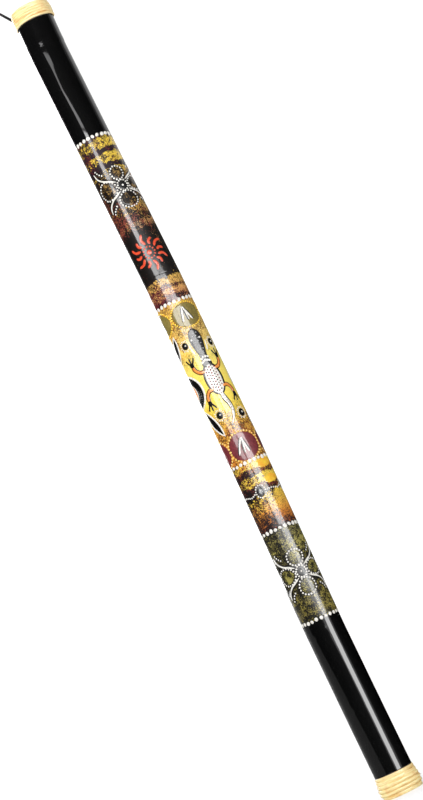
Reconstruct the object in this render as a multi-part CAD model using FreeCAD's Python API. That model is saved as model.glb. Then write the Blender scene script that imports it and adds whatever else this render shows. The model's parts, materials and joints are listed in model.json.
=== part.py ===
"""Rainstick: a lacquered bamboo tube crossed by a helix of cane pins, with loose seeds inside.

Millimetres. +Z runs up the stick, from the end it stands on to the end with the hanging loop.
The origin is the centre of the lower end face. The culm bends a little at each node, so that its
middle stands off towards +X, and the loop is on the -X side of the upper end.
"""

import math
import os

import FreeCAD
import Part

V = FreeCAD.Vector

# ---- driving dimensions -------------------------------------------------------------------
LENGTH = 1200.0        # over both end caps
TUBE_R = 27.1          # outside of the culm
WALL = 3.9
# Each node's height, and how far the middle line stands off towards +X where it bends there.
BENDS = ((130.0, -0.7), (240.0, -1.0), (515.0, 3.8), (770.0, 4.5), (1128.0, -1.2))

CAP_THICK = 2.5        # the part of a plug that covers the end of the culm
PLUG_DEPTH = 10.0      # the part of a plug that goes into the bore
PLUG_FIT = 0.05        # glue gap round the plug in the bore

# How far each turn of cane stands off its glue bed, from the end of the stick inwards.
TOP_CANE = (1.1, 2.1, 2.4, 2.4, 2.3, 2.2)
TOP_PITCH = 3.75
BOTTOM_CANE = (1.7, 3.2, 3.4, 2.6, 1.7, 0.8)
BOTTOM_PITCH = 5.25
GLUE_THICK = 0.45      # dark glue bed under each binding
GLUE_SHOW = 1.3        # how far it shows past the binding

PIN_R = 1.25
PIN_DIRECTIONS = 6     # full-width pins, so twelve rays
PINS_EACH_WAY = 16
PIN_LOW = 60.0
PIN_HIGH = 1140.0
PIN_COVER = 1.0        # filler and lacquer over each pin's end

SEED_R = 2.5
SEED_GAP = 0.05        # between one seed and the next in a stream
SEEDS_IN_STREAM = (18, 16, 17)   # the streams are filled a little unevenly
STREAM_RADIUS = 17.6   # from the pins' common axis to the middle of each stream

CORD_R = 1.6           # waxed cord

# ---- derived ------------------------------------------------------------------------------
BORE_R = TUBE_R - WALL
KNEES = [V(x, 0, z) for z, x in ((0.0, 0.0), *BENDS, (LENGTH, 0.0))]
PIN_AXIS_X = (min(knee.x for knee in KNEES) + max(knee.x for knee in KNEES)) / 2.0
PIN_COUNT = PIN_DIRECTIONS * PINS_EACH_WAY
PIN_PITCH = (PIN_HIGH - PIN_LOW) / (PIN_COUNT - 1)
STREAMS = 2 * PIN_DIRECTIONS
FLOOR = CAP_THICK + PLUG_DEPTH           # where the seeds lie
CEILING = LENGTH - FLOOR                 # where they land when the stick is turned over
TOP_BINDING = len(TOP_CANE) * TOP_PITCH
BOTTOM_BINDING = len(BOTTOM_CANE) * BOTTOM_PITCH


def middle_x(z):
    """X of the culm's middle line at height z: straight from each node to the next."""
    for low, high in zip(KNEES, KNEES[1:]):
        if z <= high.z or high is KNEES[-1]:
            return low.x + (high.x - low.x) * (z - low.z) / (high.z - low.z)


def between(shape, low, high):
    """The part of a shape between two planes, each given as a point and an upward normal."""
    slab = Part.makeBox(200, 200, high[0].z - low[0].z + 20.0, V(-100, -100, low[0].z - 10.0))
    for point, inward in ((low[0], low[1]), (high[0], -high[1])):
        wedge = Part.makeBox(400, 400, 100)
        wedge.translate(V(-200, -200, -100))
        wedge.Placement = FreeCAD.Placement(point, FreeCAD.Rotation(V(0, 0, 1), inward)).multiply(
            wedge.Placement)
        slab = slab.cut(wedge)
    return shape.common(slab)


def bowed_rod(radius, z_low, z_high):
    """A solid rod along the middle line, mitred at the nodes, its two ends square to +Z."""
    up = V(0, 0, 1)
    inner = [knee for knee in KNEES[1:-1] if z_low < knee.z < z_high]
    line = [V(middle_x(z_low), 0, z_low), *inner, V(middle_x(z_high), 0, z_high)]
    headings = [(high - low).normalize() for low, high in zip(line, line[1:])]
    cuts = [up] + [(a + b).normalize() for a, b in zip(headings, headings[1:])] + [up]
    pieces = []
    for i, heading in enumerate(headings):
        reach = 5.0
        start = line[i] - heading * reach
        run = (line[i + 1] - line[i]).Length + 2.0 * reach
        bar = Part.makeCylinder(radius, run, start, heading)
        pieces.append(between(bar, (line[i], cuts[i]), (line[i + 1], cuts[i + 1])))
    if len(pieces) == 1:
        return one_solid(pieces[0])
    return one_solid(pieces[0].fuse(pieces[1:]))


def turned(outline, centre_x):
    """Revolve a closed (radius, z) outline about the vertical line through centre_x."""
    edges = []
    for kind, *points in outline:
        places = [V(centre_x + r, 0, z) for r, z in points]
        if kind == "line":
            edges.append(Part.LineSegment(*places).toShape())
        else:
            edges.append(Part.Arc(*places).toShape())
    face = Part.Face(Part.Wire(edges))
    return face.revolve(V(centre_x, 0, 0), V(0, 0, 1), 360)


def one_solid(shape):
    """The single solid of a shape, or an error."""
    solids = shape.Solids
    if len(solids) != 1:
        raise ValueError("expected one solid, found %d" % len(solids))
    return solids[0]


# ---- the culm and its ends ----------------------------------------------------------------
def cane_pins():
    """The pins, one list for each direction. Each is a step up and a step round from the last."""
    ways = [[] for _ in range(PIN_DIRECTIONS)]
    trim = bowed_rod(TUBE_R - PIN_COVER, PIN_LOW - 20.0, PIN_HIGH + 20.0)
    for i in range(PIN_COUNT):
        angle = math.pi * i / PIN_DIRECTIONS
        along = V(math.cos(angle), math.sin(angle), 0)
        z = PIN_LOW + i * PIN_PITCH
        start = V(PIN_AXIS_X, 0, z) - along * (2.0 * TUBE_R)
        pin = Part.makeCylinder(PIN_R, 4.0 * TUBE_R, start, along)
        ways[i % PIN_DIRECTIONS].append(one_solid(pin.common(trim)))
    return ways


def bamboo_tube(pins):
    """The culm, bored through and drilled for the pins."""
    outside = bowed_rod(TUBE_R, CAP_THICK, LENGTH - CAP_THICK)
    bore = bowed_rod(BORE_R, -10.0, LENGTH + 10.0)
    return one_solid(outside.cut([bore] + pins))


def end_plug(up):
    """A turned wooden plug: a cap over the culm's end and a spigot glued into the bore."""
    edge = 0.8
    outline = [
        ("line", (0, 0), (TUBE_R - edge, 0)),
        ("arc", (TUBE_R - edge, 0), (TUBE_R - 0.3 * edge, 0.3 * edge), (TUBE_R, edge)),
        ("line", (TUBE_R, edge), (TUBE_R, CAP_THICK)),
        ("line", (TUBE_R, CAP_THICK), (0, CAP_THICK)),
        ("line", (0, CAP_THICK), (0, 0)),
    ]
    cap = one_solid(turned(outline, 0.0))
    if up:
        cap = cap.mirror(V(0, 0, LENGTH / 2.0), V(0, 0, 1))
        spigot = bowed_rod(BORE_R - PLUG_FIT, CEILING, LENGTH - CAP_THICK)
    else:
        spigot = bowed_rod(BORE_R - PLUG_FIT, CAP_THICK, FLOOR)
    return one_solid(cap.fuse(spigot))


# ---- the cane bindings --------------------------------------------------------------------
def cane_turn(stand, z_low, z_high, end_z=None):
    """One turn of half-round cane. The turn at end_z, an end of the stick, is rounded over more."""
    z_mid = (z_low + z_high) / 2.0
    bed = TUBE_R + GLUE_THICK
    inner = TUBE_R - 1.0
    low = bed + stand * (0.3 if end_z == z_low else 0.6)
    high = bed + stand * (0.3 if end_z == z_high else 0.6)
    outline = [
        ("line", (inner, z_low), (low, z_low)),
        ("arc", (low, z_low), (bed + stand, z_mid), (high, z_high)),
        ("line", (high, z_high), (inner, z_high)),
        ("line", (inner, z_high), (inner, z_low)),
    ]
    return turned(outline, middle_x(z_mid))


def binding(pitch, stands, from_top, core):
    """Turns of cane side by side, each standing off the culm by its own height, glued as one."""
    shapes = []
    for i, stand in enumerate(stands):
        z_low = LENGTH - (i + 1) * pitch if from_top else i * pitch
        end_z = (LENGTH if from_top else 0.0) if i == 0 else None
        shapes.append(cane_turn(stand, z_low, z_low + pitch, end_z))
    ring = shapes[0].fuse(shapes[1:])
    return one_solid(ring.cut(core))


def glue_bed(z_low, z_high, core):
    """The dark glue between the culm and the cane, just showing along the binding's inner edge."""
    sleeve = bowed_rod(TUBE_R + GLUE_THICK, z_low, z_high)
    return one_solid(sleeve.cut(core))


# ---- the loose seeds ----------------------------------------------------------------------
def seed_stream(i):
    """The seeds of one stream, lying on the lower plug, in line with the gap between two pins."""
    angle = math.pi * (i + 0.5) / PIN_DIRECTIONS
    x = PIN_AXIS_X + STREAM_RADIUS * math.cos(angle)
    y = STREAM_RADIUS * math.sin(angle)
    count = SEEDS_IN_STREAM[i % len(SEEDS_IN_STREAM)]
    step = 2.0 * SEED_R + SEED_GAP
    seeds = [
        Part.makeSphere(SEED_R, V(x, y, FLOOR + SEED_GAP + SEED_R + n * step))
        for n in range(count)
    ]
    top = FLOOR + SEED_GAP + 2.0 * SEED_R + (count - 1) * step
    travel = CEILING - SEED_GAP - top
    return Part.makeCompound(seeds), travel


# ---- the hanging loop ---------------------------------------------------------------------
# The loop leaves the binding at its -X, +Y side, stands outwards and up past the end of the
# stick, turns over in +Y and comes back down into the binding. Its two legs are in one plane
# with +Y, so from -Y it looks like a single strand.
LOOP_POINTS = [
    V(-23.5, 17.9, 1192.0),
    V(-28.4, 16.8, 1199.2),
    V(-33.7, 15.9, 1206.6),
    V(-38.2, 16.4, 1213.3),
    V(-41.3, 20.6, 1219.4),
    V(-41.7, 27.6, 1222.5),
    V(-39.3, 33.4, 1221.2),
    V(-34.4, 35.8, 1215.3),
    V(-28.8, 34.6, 1207.4),
    V(-22.6, 31.6, 1200.4),
    V(-17.3, 28.2, 1195.3),
    V(-13.7, 26.0, 1191.0),
]


def cord_path(points):
    """Straight runs joined by tangent arcs, each arc as large as its two runs allow."""
    edges = []
    radii = []
    start = points[0]
    for before, corner, after in zip(points, points[1:], points[2:]):
        back, ahead = before - corner, after - corner
        run = min(back.Length, ahead.Length)
        back.normalize()
        ahead.normalize()
        turn = math.pi - back.getAngle(ahead)
        trim = 0.45 * run
        radii.append(trim / math.tan(turn / 2.0))
        enter = corner + back * trim
        leave = corner + ahead * trim
        towards = back + ahead
        towards.normalize()
        depth = radii[-1] / math.cos(turn / 2.0) - radii[-1]
        middle = corner + towards * depth
        edges.append(Part.LineSegment(start, enter).toShape())
        edges.append(Part.Arc(enter, middle, leave).toShape())
        start = leave
    edges.append(Part.LineSegment(start, points[-1]).toShape())
    return Part.Wire(edges), radii


def hanging_loop():
    """The cord itself, swept along its path."""
    path, radii = cord_path(LOOP_POINTS)
    heading = LOOP_POINTS[1] - LOOP_POINTS[0]
    section = Part.Wire(Part.makeCircle(CORD_R, LOOP_POINTS[0], heading))
    cord = path.makePipeShell([section], True, False)
    print("loop radii", [round(r, 1) for r in radii])
    print("loop length %.1f, volume over section times length %.4f"
          % (path.Length, cord.Volume / (math.pi * CORD_R ** 2 * path.Length)))
    return one_solid(cord)


# ---- write everything ---------------------------------------------------------------------
def main():
    parts = {}
    ways = cane_pins()
    parts["bamboo_tube"] = bamboo_tube([pin for way in ways for pin in way])
    for i, way in enumerate(ways):
        parts["cane_pins_%03d_deg" % round(180.0 * i / PIN_DIRECTIONS)] = Part.makeCompound(way)
    parts["bottom_end_plug"] = end_plug(False)
    parts["top_end_plug"] = end_plug(True)

    core = bowed_rod(TUBE_R, -10.0, LENGTH + 10.0)
    core_and_glue = bowed_rod(TUBE_R + GLUE_THICK, -10.0, LENGTH + 10.0)
    cord = hanging_loop()
    parts["bottom_cane_binding"] = binding(BOTTOM_PITCH, BOTTOM_CANE, False, core_and_glue)
    top_binding = binding(TOP_PITCH, TOP_CANE, True, core_and_glue)
    parts["top_cane_binding"] = one_solid(top_binding.cut(cord))
    parts["bottom_glue_bed"] = glue_bed(CAP_THICK, BOTTOM_BINDING + GLUE_SHOW, core)
    parts["top_glue_bed"] = glue_bed(LENGTH - TOP_BINDING - GLUE_SHOW, LENGTH - CAP_THICK, core)
    parts["hanging_loop"] = cord

    for i in range(STREAMS):
        seeds, travel = seed_stream(i)
        parts["seed_stream_%02d" % (i + 1)] = seeds
        print("seed_stream_%02d travel %.2f" % (i + 1, travel))

    os.makedirs("parts", exist_ok=True)
    for name, shape in parts.items():
        shape.exportStep("parts/%s.step" % name)
        box = shape.BoundBox
        print("%-22s solids %3d  volume %10.1f  z %.2f to %.2f  x %.2f to %.2f  valid %s" % (
            name, len(shape.Solids), shape.Volume, box.ZMin, box.ZMax, box.XMin, box.XMax,
            shape.isValid()))


main()
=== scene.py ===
"""Looks of a painted bamboo rainstick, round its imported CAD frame. Metres, +Z up the stick."""

import json
import random
from math import cos, degrees, dist, exp, hypot, pi, radians, sin, sqrt, tau
from types import SimpleNamespace

import bpy
from mathutils import Matrix, Vector


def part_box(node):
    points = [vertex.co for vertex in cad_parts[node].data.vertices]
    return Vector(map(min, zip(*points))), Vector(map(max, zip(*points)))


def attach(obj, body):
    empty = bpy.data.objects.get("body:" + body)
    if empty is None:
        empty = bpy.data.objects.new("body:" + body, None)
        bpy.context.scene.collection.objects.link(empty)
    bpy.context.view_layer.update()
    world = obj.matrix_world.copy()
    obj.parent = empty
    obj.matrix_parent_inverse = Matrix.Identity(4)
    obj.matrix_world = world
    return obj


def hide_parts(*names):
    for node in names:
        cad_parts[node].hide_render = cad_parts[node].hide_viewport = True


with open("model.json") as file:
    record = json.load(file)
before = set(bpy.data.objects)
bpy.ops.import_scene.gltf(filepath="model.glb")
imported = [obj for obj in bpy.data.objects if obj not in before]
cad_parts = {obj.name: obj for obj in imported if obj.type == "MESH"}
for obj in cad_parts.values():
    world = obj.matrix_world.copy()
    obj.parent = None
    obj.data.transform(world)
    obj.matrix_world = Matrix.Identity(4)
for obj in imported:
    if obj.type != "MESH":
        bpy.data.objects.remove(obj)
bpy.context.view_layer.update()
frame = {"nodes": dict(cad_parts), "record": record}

MM = 0.001
BODY = "stick"

# ---- the culm's own measures, from the frame ----
tube_low, tube_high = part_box("bamboo_tube")
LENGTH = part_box("top_cane_binding")[1].z
TUBE_R = (tube_high.y - tube_low.y) / 2.0
WALL = 3.9 * MM
# Each node's height and how far the middle line stands off there, as in the CAD.
BENDS = ((0.130, -0.0007), (0.240, -0.0010), (0.515, 0.0038), (0.770, 0.0045), (1.128, -0.0012))
KNEES = [(0.0, 0.0), *BENDS, (LENGTH, 0.0)]
# Each sanded ridge's height and size. The last one stands a little above its bend.
RIDGES = ((0.130, 0.3), (0.240, 0.2), (0.515, 0.2), (0.770, 0.1), (1.143, 1.0))
CULM_SIDES = 144       # points once round the culm and each band of ground paint
BORE_ROWS = 24
NODE_REACH = 14 * MM   # how near to a node the rows of a skin lie close together
NEAR_STEP = 1.5
FAR_STEP = 4.0


def middle(z):
    """X of the culm's middle line at height z."""
    for (z0, x0), (z1, x1) in zip(KNEES, KNEES[1:]):
        if z <= z1:
            return x0 + (x1 - x0) * (z - z0) / (z1 - z0)
    return KNEES[-1][1]


def bell(x, width):
    return exp(-(x / width) ** 2)


def culm_radius(a, z):
    """Outside radius at angle a (radians) and height z: a slight taper, sanded nodes, waviness."""
    r = TUBE_R - 0.05 * MM - 0.15 * MM * z / LENGTH
    for i, (node, size) in enumerate(RIDGES):
        d = z - node + 0.9 * MM * sin(a + 1.7 * i)
        r += size * (0.26 * MM * bell(d, 5.5 * MM) - 0.12 * MM * bell(d + 6.5 * MM, 3.0 * MM))
    return r + 0.07 * MM * sin(2.0 * a + 9.0 * z) + 0.05 * MM * sin(3.0 * a - 17.0 * z)


def around(a, z, r):
    """The point at angle a (radians from -Y towards +X), height z and r from the middle."""
    return Vector((middle(z) + r * sin(a), -r * cos(a), z))


def turned(p, q, angle):
    c, s = cos(angle), sin(angle)
    return p * c - q * s, p * s + q * c


def at(a, z, lift=0.0):
    """The point of the culm's skin at angle a (degrees from -Y towards +X) and height z."""
    a = radians(a)
    return around(a, z, culm_radius(a, z) + lift)


# ---- mesh helpers ----
def link(obj):
    bpy.context.scene.collection.objects.link(obj)
    return obj


def new_object(name, verts, faces, material):
    mesh = bpy.data.meshes.new(name)
    mesh.from_pydata([tuple(v) for v in verts], [], faces)
    mesh.validate()
    mesh.update()
    mesh.materials.append(material)
    for polygon in mesh.polygons:
        polygon.use_smooth = True
    return link(bpy.data.objects.new(name, mesh))


def new_piece(name, verts, faces, material, slot, *replaced, body=BODY):
    """A piece with its material and body, in place of the CAD nodes that it replaces."""
    obj = new_object(name, verts, faces, material)
    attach(obj, body)
    if replaced:
        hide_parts(*replaced)
    return obj


def quads(rows, columns, base=0, closed=False, flip=False):
    """Quads between rows of points that each go once round.

    base is the first point, closed joins the last row to the first, and flip turns the faces over.
    """
    faces = []
    for i in range(rows if closed else rows - 1):
        a, b = base + i * columns, base + (i + 1) % rows * columns
        for k in range(columns):
            m = (k + 1) % columns
            faces.append((a + k, b + k, b + m, a + m) if flip else (a + k, a + m, b + m, b + k))
    return faces


def tube(rows, columns, base=0, flip=False):
    """Faces of rows of points that each go once round, closed by a flat face at each end."""
    start = tuple(range(base, base + columns))
    end = tuple(k + (rows - 1) * columns for k in start)
    ends = [start, end[::-1]] if flip else [start[::-1], end]
    return quads(rows, columns, base, flip=flip) + ends


def dome(rows, columns, base=0, flip=False):
    """Faces of one point, then rows of points that each go once round, then one more point."""
    first, last = base + 1, base + 1 + rows * columns
    top = last - columns
    faces = quads(rows, columns, first, flip=flip)
    for k in range(columns):
        m = (k + 1) % columns
        for a, b, tip in ((first + m, first + k, base), (top + k, top + m, last)):
            faces.append((b, a, tip) if flip else (a, b, tip))
    return faces


# ---- materials ----
def linear(colour):
    """A linear colour from 0-255 screen values or from one linear grey. Links pass through."""
    if isinstance(colour, bpy.types.NodeSocket):
        return colour
    if not isinstance(colour, tuple):
        return (colour, colour, colour, 1.0)
    parts = [v / 255.0 for v in colour]
    return (*(v / 12.92 if v <= 0.04045 else ((v + 0.055) / 1.055) ** 2.4 for v in parts), 1.0)


class Look:
    """A Principled material with short calls for the nodes that feed it."""

    def __init__(self, name, roughness=0.5, coat=0.0, coat_roughness=0.08, specular=0.5):
        self.material = bpy.data.materials.new(name)
        self.material.use_nodes = True
        self.tree = self.material.node_tree
        self.nodes = self.tree.nodes
        self.shader = next(n for n in self.nodes if n.type == "BSDF_PRINCIPLED")
        self.set("Roughness", roughness)
        self.set("Coat Weight", coat)
        self.set("Coat Roughness", coat_roughness)
        self.set("Specular IOR Level", specular)
        self.place = self.nodes.new("ShaderNodeTexCoord").outputs["Object"]

    def feed(self, socket, value):
        """Link a socket to a node's output, or give it a number or a colour."""
        if isinstance(value, bpy.types.NodeSocket):
            self.tree.links.new(value, socket)
        else:
            socket.default_value = value

    def set(self, socket, value):
        self.feed(self.shader.inputs[socket], value)

    def node(self, kind, output, inputs, **settings):
        """One output of a new node, with its settings made and its inputs fed."""
        node = self.nodes.new("ShaderNode" + kind)
        for name, value in settings.items():
            setattr(node, name, value)
        for socket, value in inputs.items():
            self.feed(node.inputs[socket], value)
        return node.outputs[output]

    def scaled(self, *scale):
        return self.node("Mapping", "Vector", {"Vector": self.place, "Scale": scale})

    def noise(self, scale, detail=3.0, rough=0.55, vector=None, warp=0.0):
        return self.node("TexNoise", "Fac", {
            "Vector": vector or self.place, "Scale": scale, "Detail": detail, "Roughness": rough,
            "Distortion": warp})

    def cell_edges(self, scale):
        """The distance to the nearest edge between cells."""
        return self.node("TexVoronoi", "Distance", {"Vector": self.place, "Scale": scale},
                         feature="DISTANCE_TO_EDGE")

    def math(self, operation, *values):
        return self.node("Math", 0, dict(enumerate(values)), operation=operation)

    def steps(self, value, low, high, bottom=0.0, top=1.0, smooth="SMOOTHSTEP"):
        """A smooth step from bottom to top as value goes from low to high."""
        return self.node("MapRange", "Result", {
            "Value": value, "From Min": low, "From Max": high, "To Min": bottom, "To Max": top},
            interpolation_type=smooth)

    def ramp(self, value, stops):
        """Colours or greys, as (position, colour), that blend into each other along value."""
        node = self.nodes.new("ShaderNodeValToRGB")
        self.feed(node.inputs["Fac"], value)
        elements = node.color_ramp.elements
        while len(elements) < len(stops):
            elements.new(0.5)
        for element, (position, colour) in zip(elements, stops):
            element.position = position
            element.color = linear(colour)
        return node.outputs["Color"]

    def blend(self, share, a, b):
        # A Mix node's colour sockets are inputs 6 and 7 and output 2.
        return self.node("Mix", 2, {0: share, 6: linear(a), 7: linear(b)}, data_type="RGBA")

    def axis(self, name):
        return self.node("SeparateXYZ", name, {0: self.place})

    def relief(self, height, depth, strength):
        """Bumps up to depth mm high."""
        normal = self.node("Bump", "Normal", {
            "Strength": strength, "Distance": depth * MM, "Height": height})
        self.set("Normal", normal)
        self.set("Coat Normal", normal)


def lacquer():
    """Glossy black over bamboo: the fibres show faintly along the stick."""
    look = Look("black_lacquer", 0.42, 1.0, 0.035, 0.02)
    haze = look.noise(9.0, 4.0, 0.6, look.scaled(1, 1, 0.2))
    look.set("Base Color", look.ramp(haze, [(0.3, (5, 5, 6)), (0.75, (14, 14, 14))]))
    fibres = look.noise(900.0, 2.0, 0.5, look.scaled(1, 1, 0.012))
    peel = look.noise(60.0, 2.0, 0.5, look.scaled(1, 1, 0.5))
    look.relief(look.math("ADD", fibres, look.math("MULTIPLY", peel, 4.0)), 0.012, 0.6)
    return look.material


def paint(name, colour, darker, scale=320.0):
    """Hand paint under thin varnish: a little uneven in colour and in thickness."""
    look = Look(name, 0.45, 0.85, 0.10, 0.2)
    wear = look.noise(scale, 4.0, 0.65)
    look.set("Base Color", look.ramp(wear, [(0.32, darker), (0.62, colour)]))
    look.relief(look.noise(700.0, 3.0, 0.6), 0.05, 0.5)
    return look.material


SPONGE_GRAIN = 560.0   # how fine the speckles of sponged and flecked paint are


def speckle(look, grain, patches, weight):
    """A fine grain that comes and goes with broad patches. patches are scale and detail."""
    patch = look.math("SUBTRACT", look.noise(*patches, 0.6), 0.5)
    return look.math("MULTIPLY_ADD", patch, weight, look.noise(grain, 2.5, 0.68, warp=0.5))


def flecked(name, ground, fleck, share):
    """Varnished paint with dabs of a second colour over a share of it."""
    look = Look(name, 0.48, 0.85, 0.10, 0.15)
    level = speckle(look, SPONGE_GRAIN, (110.0, 2.0), 0.7)
    half_way = 0.5 + 0.3 * (0.5 - share)
    dabs = look.steps(level, half_way - 0.025, half_way + 0.025)
    look.set("Base Color", look.blend(dabs, ground, fleck))
    look.relief(look.noise(SPONGE_GRAIN, 2.0), 0.05, 0.5)
    return look.material


WOBBLE = 0.004         # how far the sponged stripes wander up and down, m
NET_COLOUR = (46, 22, 16)


def sponged(name, z_low, z_high, base, under, over, under_cover, over_cover, net,
            slants=(-0.07, 0.07)):
    """Speckles of sponged paint in uneven level stripes, with a scaly net of dark lines.

    base, under and over are colour stops up the band, as (share of its height, colour). The
    covers and the net give how much of each lies at a height, as (share, 0 to 1). slants say how
    much more of under and of over lies on the +X side.
    """
    look = Look(name, 0.5, 0.9, 0.11, 0.15)
    drift = look.math("SUBTRACT", look.noise(24.0, 2.0, 0.5), 0.5)
    ripple = look.math("SUBTRACT", look.noise(105.0, 3.0, 0.6), 0.5)
    wavy = look.math("MULTIPLY_ADD", drift, 3.4 * WOBBLE, look.axis("Z"))
    wavy = look.math("MULTIPLY_ADD", ripple, 2.6 * WOBBLE, wavy)
    share = look.steps(wavy, z_low, z_high, smooth="LINEAR")
    colour = look.ramp(share, base)
    side = look.math("MULTIPLY", look.axis("X"), 1.0 / TUBE_R)
    for k, (stops, amounts) in enumerate(((under, under_cover), (over, over_cover))):
        level = speckle(look, SPONGE_GRAIN * (0.86 + 0.14 * k), (80.0 + 70.0 * k, 3.0), 0.6)
        level = look.math("MULTIPLY_ADD", side, slants[k], level)
        level = look.math("MULTIPLY_ADD", look.ramp(share, amounts), 0.55, level)
        dabs = look.steps(level, 0.755, 0.80)
        thin = look.steps(look.noise(1.7 * SPONGE_GRAIN, 1.0), 0.42, 0.62, 0.0, 0.5)
        colour = look.blend(dabs, colour, look.blend(thin, look.ramp(share, stops), colour))
    lines = look.steps(look.cell_edges(300.0), 0.05, 0.16, 1.0, 0.0)
    broken = look.steps(look.noise(70.0), 0.38, 0.56)
    netted = look.math("MULTIPLY", lines, look.math("MULTIPLY", look.ramp(share, net), broken))
    look.set("Base Color", look.blend(netted, colour, NET_COLOUR))
    grain = look.noise(SPONGE_GRAIN, 2.0)
    look.relief(look.math("ADD", grain, look.math("MULTIPLY", dabs, 0.5)), 0.06, 0.5)
    return look.material


def cane_look(name, fibre, straw, pale, blush):
    """Split cane: pale straw with tan fibres along each turn and blushed patches."""
    look = Look(name, 0.42, 0.4, 0.22)
    along = look.noise(1300.0, 4.0, 0.65, look.scaled(0.05, 0.05, 1.0))
    broad = look.noise(260.0, 3.0, 0.6, look.scaled(0.12, 0.12, 1.0))
    strands = look.ramp(along, [(0.30, fibre), (0.45, straw), (0.62, pale)])
    streaks = look.ramp(broad, [(0.36, fibre), (0.55, pale)])
    colour = look.blend(0.5, strands, streaks)
    blotch = look.steps(look.noise(75.0, 3.0, 0.6), 0.52, 0.74, 0.0, 0.35)
    look.set("Base Color", look.blend(blotch, colour, blush))
    look.relief(look.math("ADD", along, look.math("MULTIPLY", broad, 0.8)), 0.16, 0.8)
    return look.material


def wood_look(name, pale, dark, scale=90.0):
    """Wood with a broad grain along Y and fine pores."""
    look = Look(name)
    grain = look.noise(scale, 4.0, 0.6, look.scaled(1.0, 0.18, 1.0), 0.6)
    pores = look.noise(1500.0, 2.0, 0.6, look.scaled(1.0, 0.12, 1.0))
    colour = look.ramp(grain, [(0.35, dark), (0.6, pale)])
    look.set("Base Color", look.blend(look.steps(pores, 0.55, 0.75, 0.0, 0.5), colour, dark))
    look.relief(pores, 0.05, 0.5)
    return look.material


def plain_look(name, roughness, scale, stops, depth, strength, bumps=None, sheen=0.0):
    """One cloudy colour with bumps, which follow the clouds unless they have their own scale."""
    look = Look(name, roughness)
    clouds = look.noise(scale, 3.0, 0.6)
    look.set("Base Color", look.ramp(clouds, stops))
    look.set("Sheen Weight", sheen)
    look.relief(look.noise(bumps) if bumps else clouds, depth, strength)
    return look.material


# ---- the culm ----
def culm_rows(z_low, z_high):
    """Heights for a skin's rows: close together over the nodes, wider between them."""
    heights = [z_low]
    while heights[-1] < z_high:
        near = min(abs(heights[-1] - node) for node, _ in BENDS)
        step = (NEAR_STEP if near < NODE_REACH else FAR_STEP) * MM
        heights.append(min(heights[-1] + step, z_high))
    return heights


def skin_ring(z, lift=0.0):
    return [at(360.0 * k / CULM_SIDES, z, lift) for k in range(CULM_SIDES)]


def make_culm(material):
    """Outside skin, bore and the two cut ends, as one closed shell."""
    low, high = tube_low.z, tube_high.z
    rows = culm_rows(low, high)
    verts = [point for z in rows for point in skin_ring(z)]
    for i in range(BORE_ROWS, -1, -1):
        z = low + (high - low) * i / BORE_ROWS
        verts += [around(tau * k / CULM_SIDES, z, TUBE_R - WALL) for k in range(CULM_SIDES)]
    faces = quads(len(rows) + BORE_ROWS + 1, CULM_SIDES, closed=True)
    new_piece("culm", verts, faces, material, "black_lacquer", "bamboo_tube")


def make_sleeve(name, z_low, z_high, material):
    """A band of ground paint: a thin closed shell round the culm."""
    edge, lift, under = 0.25 * MM, 0.10 * MM, -0.3 * MM
    inner = [z for z in culm_rows(z_low, z_high)[1:-1] if z_low + edge < z < z_high - edge]
    rows = [z_low, z_low + edge, *inner, z_high - edge, z_high]
    lifts = [0.0] + [lift] * (len(rows) - 2) + [0.0]
    verts = [point for z, up in zip(rows, lifts) for point in skin_ring(z, up)]
    verts += [point for z in reversed(rows) for point in skin_ring(z, under)]
    faces = quads(2 * len(rows), CULM_SIDES, closed=True)
    new_piece(name, verts, faces, material, "black_lacquer")


# ---- raised paint ----
ROOT = -0.25           # how far raised paint reaches into the ground under it, mm
FOOT = 0.10            # where a drop's dome starts, mm above the skin


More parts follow.
